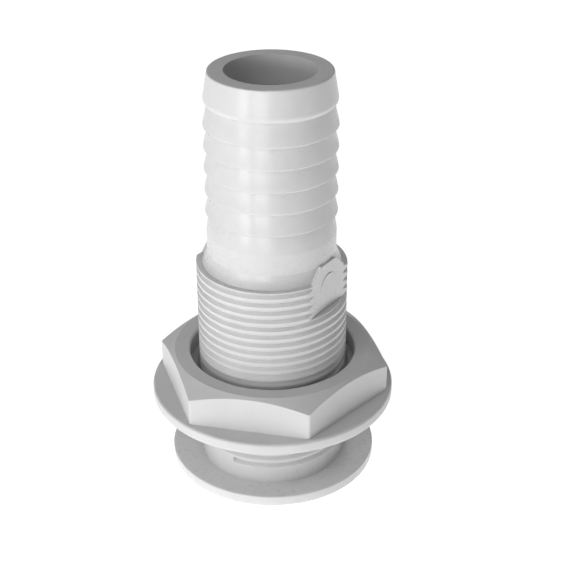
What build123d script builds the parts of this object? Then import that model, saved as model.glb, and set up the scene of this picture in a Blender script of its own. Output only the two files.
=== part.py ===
"""Plastic thru hull fitting for a 38 mm hose: a one-piece body and a flanged hex nut.

The axis is +Z, the origin is on the axis at the mushroom flange's outer face,
and the hose tail points up. Sizes are in millimetres. Angles are about +Z from +X.
"""

import os
from math import cos, radians, sin, tan

from build123d import *

os.makedirs("parts", exist_ok=True)

# ---- driving dimensions -------------------------------------------------

OVERALL_HEIGHT = 134.0
BORE_R = 14.0
BORE_INLET = 2.0  # radius of the bore's rounded mouth in the mushroom flange
BORE_OUTLET = 0.5

# Mushroom flange, which bears on the outside of the hull. Its inner face is
# dished for sealant, inside a thin raised rim.
MUSHROOM_R = 33.75
MUSHROOM_RIM_Z = 3.8
MUSHROOM_RIM_WIDTH = 0.8
MUSHROOM_DISH_Z = 2.3
MUSHROOM_EDGE = 0.9  # radius of the outer face's edge
RIM_EDGE = 0.4
RIM_FOOT = 0.35
NECK_FOOT = 0.4

# Thread on the barrel: right hand, truncated 60 degree form. The groove starts
# bluntly in the neck, on the mould's parting plane.
PITCH = 2.82
MAJOR_R = 23.9
ROOT_R = 22.7
CREST_WIDTH = 0.85
FLANK_SLOPE = tan(radians(30.0))
THREAD_START_Z = 8.85
PARTING_ANGLE = 238.0
SHOULDER_Z = 72.1

# Hose tail above the thread. Each barb has a step below its tip and a gently
# swelling flank above it; the nose is a longer barb with a flat end.
FLARE_FOOT_R = 22.1
FLARE_MIDDLE = (21.0, 74.0)
FLARE_TOP_Z = 76.2
COLLAR_R = 20.3
COLLAR_TOP_Z = 82.8
BARB_COUNT = 6
BARB_PITCH = 7.0
BARB_TIP_R = 20.55
BARB_MIDDLE_R = 19.85
BARB_ROOT_R = 18.9
BARB_EDGE = 0.4
NOSE_STEP_Z = 124.1
NOSE_R = 18.85
NOSE_EDGE = 1.7

# Flat pads at the top of the thread, one in the middle of each mould half,
# each with a plain round mark. They rise a little above the shoulder.
PAD_ANGLES = (-33.0, 147.0)
PAD_DISTANCE = 21.0
PAD_BOTTOM_Z = 60.8
PAD_TOP_Z = 76.3
PAD_HALF_WIDTH = 9.0
PAD_CORNER_RUN = 4.8
PAD_CORNER_R = 1.0
PAD_DEPTH = 5.0
PAD_MARK_R = 4.2
PAD_MARK_Z = 68.4
PAD_MARK_HEIGHT = 0.3

# Flanged nut
NUT_BOTTOM_Z = 24.2
NUT_FLANGE_R = 39.5
NUT_FLANGE_TOP_Z = 28.0
NUT_FLANGE_EDGE = 0.8
NUT_TOP_Z = 40.25
HEX_ACROSS_FLATS = 66.0
HEX_TURN = -12.2
HEX_EDGE = 0.9
CHAMFER_CIRCLE_R = 31.9
CHAMFER_SLOPE = tan(radians(30.0))
COUNTERBORE_R = 26.9
COUNTERBORE_DEPTH = 6.0
COUNTERBORE_EDGE = 0.5
NUT_LEAD_R = 24.9  # radius of the chamfers where the nut's thread begins and ends

# Running clearance between the two threads
RADIAL_GAP = 0.28
FLANK_GAP = 0.22

TOOL_OVERRUN = 0.5  # how far a cutter passes the surface it cuts
NUT_OVERRUN = 0.2  # smaller in the nut, so the groove's turns stay apart
BLEND = 1.0  # how far neighbouring features run into each other


# ---- thread -------------------------------------------------------------


def ridge_half_width(r):
    """Half of the body's thread ridge, along the axis, at radius r."""
    return CREST_WIDTH / 2 + (MAJOR_R - r) * FLANK_SLOPE


def thread_path(r, start_z, end_z):
    """Right-hand helix at radius r that starts on the mould's parting plane."""
    helix = Helix(PITCH, end_z - start_z, r, center=(0, 0, start_z), mode=Mode.PRIVATE)
    return helix.rotate(Axis.Z, PARTING_ANGLE)


def across(path):
    """Plane square to a helix at its start, with its X radial."""
    start = path @ 0
    return Plane(origin=start, x_dir=(start.X, start.Y, 0), z_dir=path % 0)


# ---- body ---------------------------------------------------------------

groove_end_z = SHOULDER_Z + PITCH / 2 + TOOL_OVERRUN
groove_path = thread_path(ROOT_R, THREAD_START_Z, groove_end_z)
groove_outer_r = MAJOR_R + TOOL_OVERRUN
groove_root_half = PITCH / 2 - ridge_half_width(ROOT_R)
groove_mouth_half = PITCH / 2 - ridge_half_width(groove_outer_r)
groove_depth = groove_outer_r - ROOT_R

lowest_barb_z = NOSE_STEP_Z - (BARB_COUNT - 1) * BARB_PITCH


with BuildPart() as body:
    with BuildSketch(Plane.XZ) as section:
        # flange, neck, barrel and shoulder
        with BuildLine():
            FilletPolyline(
                (BORE_R, 0),
                (MUSHROOM_R, 0),
                (MUSHROOM_R, MUSHROOM_RIM_Z),
                (MUSHROOM_R - MUSHROOM_RIM_WIDTH, MUSHROOM_RIM_Z),
                (MAJOR_R, MUSHROOM_DISH_Z),
                (MAJOR_R, SHOULDER_Z),
                (BORE_R, SHOULDER_Z),
                radius=(
                    BORE_INLET,
                    MUSHROOM_EDGE,
                    RIM_EDGE,
                    RIM_FOOT,
                    NECK_FOOT,
                    0,
                    0,
                ),
                close=True,
            )
        make_face()
        # flare from the shoulder up to the collar
        with BuildLine():
            ThreePointArc(
                (FLARE_FOOT_R, SHOULDER_Z), FLARE_MIDDLE, (COLLAR_R, FLARE_TOP_Z)
            )
            Polyline(
                (COLLAR_R, FLARE_TOP_Z),
                (BORE_R, FLARE_TOP_Z),
                (BORE_R, SHOULDER_Z - BLEND),
                (FLARE_FOOT_R, SHOULDER_Z - BLEND),
                (FLARE_FOOT_R, SHOULDER_Z),
            )
        make_face()
        # collar, whose top curves in to the root below the lowest barb
        with BuildLine():
            ThreePointArc(
                (BARB_ROOT_R, lowest_barb_z),
                (BARB_MIDDLE_R, lowest_barb_z - BARB_PITCH / 2),
                (COLLAR_R, COLLAR_TOP_Z),
            )
            Polyline(
                (COLLAR_R, COLLAR_TOP_Z),
                (COLLAR_R, FLARE_TOP_Z - BLEND),
                (BORE_R, FLARE_TOP_Z - BLEND),
                (BORE_R, lowest_barb_z),
                (BARB_ROOT_R, lowest_barb_z),
            )
        make_face()
        # barbs below the nose
        for number in range(1, BARB_COUNT):
            step_z = NOSE_STEP_Z - number * BARB_PITCH
            with BuildLine():
                ThreePointArc(
                    (BARB_ROOT_R, step_z + BARB_PITCH),
                    (BARB_MIDDLE_R, step_z + BARB_PITCH / 2),
                    (BARB_TIP_R, step_z + BARB_EDGE),
                )
                Polyline(
                    (BARB_TIP_R, step_z + BARB_EDGE),
                    (BARB_TIP_R - BARB_EDGE, step_z),
                    (BORE_R, step_z),
                    (BORE_R, step_z + BARB_PITCH),
                    (BARB_ROOT_R, step_z + BARB_PITCH),
                )
            make_face()
        # nose
        with BuildLine():
            FilletPolyline(
                (BORE_R, OVERALL_HEIGHT),
                (BORE_R, NOSE_STEP_Z),
                (BARB_TIP_R, NOSE_STEP_Z),
                (NOSE_R, OVERALL_HEIGHT),
                radius=(0, BARB_EDGE, NOSE_EDGE, BORE_OUTLET),
                close=True,
            )
        make_face()
    revolve(axis=Axis.Z)

    # thread groove
    with BuildSketch(across(groove_path)):
        with BuildLine():
            Polyline(
                (0, groove_root_half),
                (groove_depth, groove_mouth_half),
                (groove_depth, -groove_mouth_half),
                (0, -groove_root_half),
                close=True,
            )
        make_face()
    sweep(path=groove_path, is_frenet=True, mode=Mode.SUBTRACT)

    # pads: a flat cut through the thread, a tab that carries it above the
    # shoulder, and the round mark
    for angle in PAD_ANGLES:
        turn = radians(angle)
        pad_plane = Plane(
            origin=(PAD_DISTANCE * cos(turn), PAD_DISTANCE * sin(turn), 0),
            x_dir=(-sin(turn), cos(turn), 0),
            z_dir=(cos(turn), sin(turn), 0),
        )
        with BuildSketch(pad_plane):
            with Locations((0, PAD_BOTTOM_Z)):
                Rectangle(
                    2 * MAJOR_R,
                    PAD_TOP_Z - PAD_BOTTOM_Z,
                    align=(Align.CENTER, Align.MIN),
                )
        extrude(amount=MAJOR_R - PAD_DISTANCE + TOOL_OVERRUN, mode=Mode.SUBTRACT)
        with BuildSketch(pad_plane):
            with BuildLine():
                FilletPolyline(
                    (-PAD_HALF_WIDTH, PAD_BOTTOM_Z),
                    (-PAD_HALF_WIDTH, SHOULDER_Z),
                    (PAD_CORNER_RUN - PAD_HALF_WIDTH, PAD_TOP_Z),
                    (PAD_HALF_WIDTH - PAD_CORNER_RUN, PAD_TOP_Z),
                    (PAD_HALF_WIDTH, SHOULDER_Z),
                    (PAD_HALF_WIDTH, PAD_BOTTOM_Z),
                    radius=(0, PAD_CORNER_R, PAD_CORNER_R, PAD_CORNER_R, PAD_CORNER_R, 0),
                    close=True,
                )
            make_face()
        extrude(amount=-PAD_DEPTH)
        with BuildSketch(pad_plane):
            with Locations((0, PAD_MARK_Z)):
                Circle(PAD_MARK_R)
        extrude(amount=PAD_MARK_HEIGHT)

body.part.label = "through_hull_body"
export_step(body.part, "parts/through_hull_body.step")

# ---- nut ----------------------------------------------------------------

# The nut's groove is the body's ridge plus the running clearance, half a pitch
# above the body's groove, so the two are in mesh where the nut sits.
nut_bore_r = ROOT_R + RADIAL_GAP
nut_root_r = MAJOR_R + RADIAL_GAP
nut_floor_z = NUT_TOP_Z - COUNTERBORE_DEPTH
turns_below = int((NUT_BOTTOM_Z - PITCH - THREAD_START_Z) / PITCH)
nut_start_z = THREAD_START_Z + PITCH / 2 + (turns_below - 1) * PITCH
nut_path = thread_path(nut_bore_r, nut_start_z, nut_floor_z + PITCH)
nut_inner_r = nut_bore_r - NUT_OVERRUN
nut_mouth_half = ridge_half_width(nut_inner_r) + FLANK_GAP
nut_root_half = ridge_half_width(nut_root_r) + FLANK_GAP
lead = NUT_LEAD_R - nut_bore_r

with BuildPart() as nut:
    # hexagon, with its vertical edges rounded
    with BuildSketch(Plane.XY.offset(NUT_BOTTOM_Z + BLEND)) as hexagon:
        RegularPolygon(
            HEX_ACROSS_FLATS / 2, 6, major_radius=False, rotation=HEX_TURN
        )
        fillet(hexagon.vertices(), HEX_EDGE)
    extrude(amount=NUT_TOP_Z - NUT_BOTTOM_Z - BLEND)
    # cone that takes the hexagon's corners down from the chamfer circle
    with BuildSketch(Plane.XZ):
        with BuildLine():
            Polyline(
                (0, NUT_BOTTOM_Z),
                (NUT_FLANGE_R, NUT_BOTTOM_Z),
                (
                    NUT_FLANGE_R,
                    NUT_TOP_Z - (NUT_FLANGE_R - CHAMFER_CIRCLE_R) * CHAMFER_SLOPE,
                ),
                (CHAMFER_CIRCLE_R, NUT_TOP_Z),
                (0, NUT_TOP_Z),
                close=True,
            )
        make_face()
    revolve(axis=Axis.Z, mode=Mode.INTERSECT)
    # round flange
    with BuildSketch(Plane.XZ):
        with BuildLine():
            FilletPolyline(
                (0, NUT_BOTTOM_Z),
                (NUT_FLANGE_R, NUT_BOTTOM_Z),
                (NUT_FLANGE_R, NUT_FLANGE_TOP_Z),
                (0, NUT_FLANGE_TOP_Z),
                radius=(0, NUT_FLANGE_EDGE, NUT_FLANGE_EDGE, 0),
                close=True,
            )
        make_face()
    revolve(axis=Axis.Z)
    # bore
    with BuildSketch(Plane.XY.offset(NUT_BOTTOM_Z)):
        Circle(nut_bore_r)
    extrude(amount=NUT_TOP_Z - NUT_BOTTOM_Z, mode=Mode.SUBTRACT)
    # thread groove
    with BuildSketch(across(nut_path)):
        with BuildLine():
            Polyline(
                (-NUT_OVERRUN, nut_mouth_half),
                (nut_root_r - nut_bore_r, nut_root_half),
                (nut_root_r - nut_bore_r, -nut_root_half),
                (-NUT_OVERRUN, -nut_mouth_half),
                close=True,
            )
        make_face()
    sweep(path=nut_path, is_frenet=True, mode=Mode.SUBTRACT)
    # lead chamfer at each end of the thread, and the counterbore
    with BuildSketch(Plane.XZ):
        with BuildLine():
            Polyline(
                (0, NUT_BOTTOM_Z),
                (NUT_LEAD_R, NUT_BOTTOM_Z),
                (nut_bore_r, NUT_BOTTOM_Z + lead),
                (nut_bore_r, nut_floor_z - lead),
                (NUT_LEAD_R, nut_floor_z),
                (COUNTERBORE_R, nut_floor_z),
                (COUNTERBORE_R, NUT_TOP_Z - COUNTERBORE_EDGE),
                (COUNTERBORE_R + COUNTERBORE_EDGE, NUT_TOP_Z),
                (0, NUT_TOP_Z),
                close=True,
            )
        make_face()
    revolve(axis=Axis.Z, mode=Mode.SUBTRACT)

nut.part.label = "flange_nut"
export_step(nut.part, "parts/flange_nut.step")
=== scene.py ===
from math import cos, radians, sin

import bpy
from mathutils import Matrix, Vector

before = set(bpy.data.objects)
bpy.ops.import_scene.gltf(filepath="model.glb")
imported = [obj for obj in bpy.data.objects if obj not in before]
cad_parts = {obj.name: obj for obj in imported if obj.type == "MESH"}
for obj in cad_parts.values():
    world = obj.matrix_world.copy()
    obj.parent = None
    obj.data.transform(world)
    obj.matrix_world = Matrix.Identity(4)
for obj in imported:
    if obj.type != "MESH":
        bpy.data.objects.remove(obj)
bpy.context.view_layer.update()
scene = bpy.context.scene
scene.view_settings.view_transform = "Standard"

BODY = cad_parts["through_hull_body"]
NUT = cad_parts["flange_nut"]


# ---- chosen values -------------------------------------------------------

# Floor, which reaches FLOOR_SIDE metres each way, and the world light
FLOOR_SIDE = 3.0
FLOOR_GLOW = 0.95
FLOOR_LIGHT = (0.86, 0.86, 0.86, 1)
FLOOR_SHADE = (0.84, 0.84, 0.84, 1)
WORLD_STRENGTH = 0.1

# Lights aim at the middle of the part, from this far off
LIGHT_AIM = (0, 0, 0.065)
LIGHT_DISTANCE = 1.1

CAMERA_LENS = 79.07
CAMERA_SENSOR = 36.0
CAMERA_PLACE = (0.00533, -0.35515, 0.25444)
CAMERA_TILT = 61.445
CAMERA_TURN = 0.04

# Moulded plastic
CLOUD_SIZE = 0.011
STREAK_SIZE = 0.0035
SPECK_SIZE = 0.0042
SPECK_SHARE = 0.965  # about how much of the surface's cells have no speck
SPECK_COLOUR = (0.34, 0.33, 0.31, 1)
# colour of the painted shade in the inner corners and creases
CREASE_SHADE_COLOUR = (0.50, 0.49, 0.46, 1)
BODY_COAT = 0.08
BODY_COAT_ROUGHNESS = 0.12


# ---- shader helpers -------------------------------------------------------


class Graph:
    """A material's node tree, with short calls for the nodes used here."""

    def __init__(self, name):
        self.material = bpy.data.materials.new(name)
        self.material.use_nodes = True
        self.tree = self.material.node_tree
        self.shader = self.tree.nodes["Principled BSDF"]
        coordinates = self.tree.nodes.new("ShaderNodeTexCoord")
        self.place = coordinates.outputs["Object"]

    def node(self, kind, **settings):
        n = self.tree.nodes.new(kind)
        for key, value in settings.items():
            setattr(n, key, value)
        return n

    def link(self, source, target):
        self.tree.links.new(source, target)

    def put(self, value, target):
        """A socket is linked, and anything else is set."""
        if isinstance(value, bpy.types.NodeSocket):
            self.link(value, target)
        else:
            target.default_value = value

    def stretched(self, scale):
        n = self.node("ShaderNodeMapping")
        self.link(self.place, n.inputs["Vector"])
        n.inputs["Scale"].default_value = scale
        return n.outputs["Vector"]

    def noise(self, size, detail=2.0, rough=0.5, vector=None, distort=0.0):
        n = self.node("ShaderNodeTexNoise")
        self.link(vector or self.place, n.inputs["Vector"])
        n.inputs["Scale"].default_value = 1.0 / size
        n.inputs["Detail"].default_value = detail
        n.inputs["Roughness"].default_value = rough
        n.inputs["Distortion"].default_value = distort
        return n.outputs["Fac"]

    def math(self, operation, a, b=0.0, clamp=False):
        n = self.node("ShaderNodeMath", operation=operation, use_clamp=clamp)
        self.put(a, n.inputs[0])
        self.put(b, n.inputs[1])
        return n.outputs[0]

    def ranged(self, value, low, high, to_low, to_high):
        n = self.node("ShaderNodeMapRange")
        self.put(value, n.inputs["Value"])
        for key, number in (
            ("From Min", low),
            ("From Max", high),
            ("To Min", to_low),
            ("To Max", to_high),
        ):
            self.put(number, n.inputs[key])
        return n.outputs["Result"]

    def mix(self, factor, a, b):
        n = self.node("ShaderNodeMix", data_type="RGBA")
        self.put(factor, n.inputs["Factor"])
        self.put(a, n.inputs["A"])
        self.put(b, n.inputs["B"])
        return n.outputs["Result"]

    def bump(self, height, distance, strength=1.0, under=None):
        n = self.node("ShaderNodeBump")
        self.put(height, n.inputs["Height"])
        n.inputs["Distance"].default_value = distance
        n.inputs["Strength"].default_value = strength
        if under:
            self.link(under, n.inputs["Normal"])
        return n.outputs["Normal"]


def plastic(name, base, shade, stain, roughness, grain, seed):
    """Moulded white nylon: cloudy colour, fine grain, flow marks, specks and scuffs."""
    g = Graph(name)
    moved = g.node("ShaderNodeMapping")
    g.link(g.place, moved.inputs["Vector"])
    moved.inputs["Location"].default_value = (seed * 0.37, seed * 0.61, seed * 0.23)
    g.place = moved.outputs["Vector"]
    flow = g.stretched((1.0, 1.0, 0.22))

    cloud = g.noise(CLOUD_SIZE, detail=3.0, rough=0.55, distort=0.6)
    streak = g.noise(STREAK_SIZE, detail=2.0, vector=flow, distort=0.3)
    colour = g.mix(g.ranged(cloud, 0.34, 0.68, 0.0, 1.0), base, shade)
    colour = g.mix(g.ranged(streak, 0.5, 0.8, 0.0, 0.35), colour, stain)

    # small dark specks moulded into the resin
    cells = g.node("ShaderNodeTexVoronoi")
    g.link(g.place, cells.inputs["Vector"])
    cells.inputs["Scale"].default_value = 1.0 / SPECK_SIZE
    chosen = g.math("GREATER_THAN", cells.outputs["Color"], SPECK_SHARE)
    spot = g.ranged(cells.outputs["Distance"], 0.025, 0.045, 1.0, 0.0)
    speck = g.math("MULTIPLY", chosen, spot, clamp=True)
    colour = g.mix(g.math("MULTIPLY", speck, 0.35), colour, SPECK_COLOUR)

    # painted shade: darker colour in the inner corners and creases, broken into patches
    crease = g.node("ShaderNodeNewGeometry").outputs["Pointiness"]
    crease_shade = g.ranged(crease, 0.492, 0.455, 0.0, 1.0)
    patch = g.ranged(g.noise(0.006, detail=3.0), 0.35, 0.7, 0.25, 1.0)
    colour = g.mix(
        g.math("MULTIPLY", g.math("MULTIPLY", crease_shade, patch), 0.18, clamp=True),
        colour,
        CREASE_SHADE_COLOUR,
    )
    g.link(colour, g.shader.inputs["Base Color"])

    scuff = g.noise(0.0016, detail=4.0, rough=0.65, vector=g.stretched((1.0, 1.0, 2.6)))
    worn = g.ranged(crease, 0.505, 0.54, 0.0, 0.12)
    rough = g.ranged(scuff, 0.32, 0.72, roughness - 0.06, roughness + 0.10)
    g.link(g.math("ADD", rough, worn, clamp=True), g.shader.inputs["Roughness"])

    peel = g.bump(g.noise(0.0032, detail=1.0), 0.00004, 0.5)
    fine = g.bump(g.noise(0.00032, detail=2.0), grain, 0.6, under=peel)
    pits = g.bump(g.math("SUBTRACT", 1.0, speck), 0.00008, 0.6, under=fine)
    g.link(pits, g.shader.inputs["Normal"])

    g.shader.inputs["IOR"].default_value = 1.53
    g.shader.inputs["Subsurface Weight"].default_value = 0.18
    g.shader.inputs["Subsurface Radius"].default_value = (1.0, 0.9, 0.8)
    g.shader.inputs["Subsurface Scale"].default_value = 0.0022
    return g


body_look = plastic(
    "nylon_body",
    (0.715, 0.710, 0.712, 1),
    (0.690, 0.686, 0.688, 1),
    (0.660, 0.654, 0.648, 1),
    0.30,
    0.000012,
    1,
)
body_look.shader.inputs["Coat Weight"].default_value = BODY_COAT
body_look.shader.inputs["Coat Roughness"].default_value = BODY_COAT_ROUGHNESS

nut_look = plastic(
    "nylon_nut",
    (0.705, 0.702, 0.703, 1),
    (0.680, 0.677, 0.678, 1),
    (0.650, 0.645, 0.640, 1),
    0.40,
    0.00002,
    2,
)

for node, look in ((BODY, body_look), (NUT, nut_look)):
    node.data.materials.clear()
    node.data.materials.append(look.material)


# ---- floor ---------------------------------------------------------------


def make_floor():
    mesh = bpy.data.meshes.new("floor")
    side = FLOOR_SIDE
    mesh.from_pydata(
        [(-side, -side, 0), (side, -side, 0), (side, side, 0), (-side, side, 0)],
        [],
        [(0, 1, 2, 3)],
    )
    floor = bpy.data.objects.new("floor", mesh)
    scene.collection.objects.link(floor)
    g = Graph("floor_pale")
    tint = g.ranged(g.noise(0.4, detail=2.0), 0.3, 0.7, 0.0, 1.0)
    colour = g.mix(tint, FLOOR_LIGHT, FLOOR_SHADE)
    g.link(colour, g.shader.inputs["Base Color"])
    g.link(colour, g.shader.inputs["Emission Color"])
    g.shader.inputs["Emission Strength"].default_value = FLOOR_GLOW
    g.shader.inputs["Roughness"].default_value = 0.8
    mesh.materials.append(g.material)


make_floor()


# ---- lights --------------------------------------------------------------

def softbox(name, azimuth, elevation, width, height, power):
    """Area light. Azimuth 0 is on the camera's side and grows to the right."""
    a, e = radians(azimuth), radians(elevation)
    direction = Vector((sin(a) * cos(e), -cos(a) * cos(e), sin(e)))
    data = bpy.data.lights.new(name, "AREA")
    data.shape = "RECTANGLE"
    data.size = width
    data.size_y = height
    data.energy = power
    light = bpy.data.objects.new(name, data)
    light.location = Vector(LIGHT_AIM) + LIGHT_DISTANCE * direction
    light.rotation_euler = direction.to_track_quat("Z", "Y").to_euler()
    scene.collection.objects.link(light)


for name, azimuth, elevation, width, height, power in (
    ("key_low", -45, 3, 0.35, 0.4, 2.8),
    ("key_middle", -40, 42, 0.45, 0.45, 1.6),
    ("side_left", -75, 20, 0.5, 0.9, 1.2),
    ("front_middle", -5, 45, 0.5, 0.4, 0.7),
    ("back", 180, 25, 0.5, 0.9, 0.8),
    ("back_right", 135, 20, 0.5, 0.9, 1.0),
    ("front", -15, 4, 0.4, 0.4, 2.7),
):
    softbox(name, azimuth, elevation, width, height, power)

world = bpy.data.worlds.new("studio")
scene.world = world
world.use_nodes = True
background = world.node_tree.nodes["Background"]
background.inputs["Color"].default_value = (1, 1, 1, 1)
background.inputs["Strength"].default_value = WORLD_STRENGTH


# ---- camera --------------------------------------------------------------

camera_data = bpy.data.cameras.new("camera")
camera_data.lens = CAMERA_LENS
camera_data.sensor_width = CAMERA_SENSOR
camera_data.clip_start = 0.01
camera_data.clip_end = 20.0
camera = bpy.data.objects.new("camera", camera_data)
camera.location = CAMERA_PLACE
camera.rotation_euler = (radians(CAMERA_TILT), 0, radians(CAMERA_TURN))
scene.collection.objects.link(camera)
scene.camera = camera
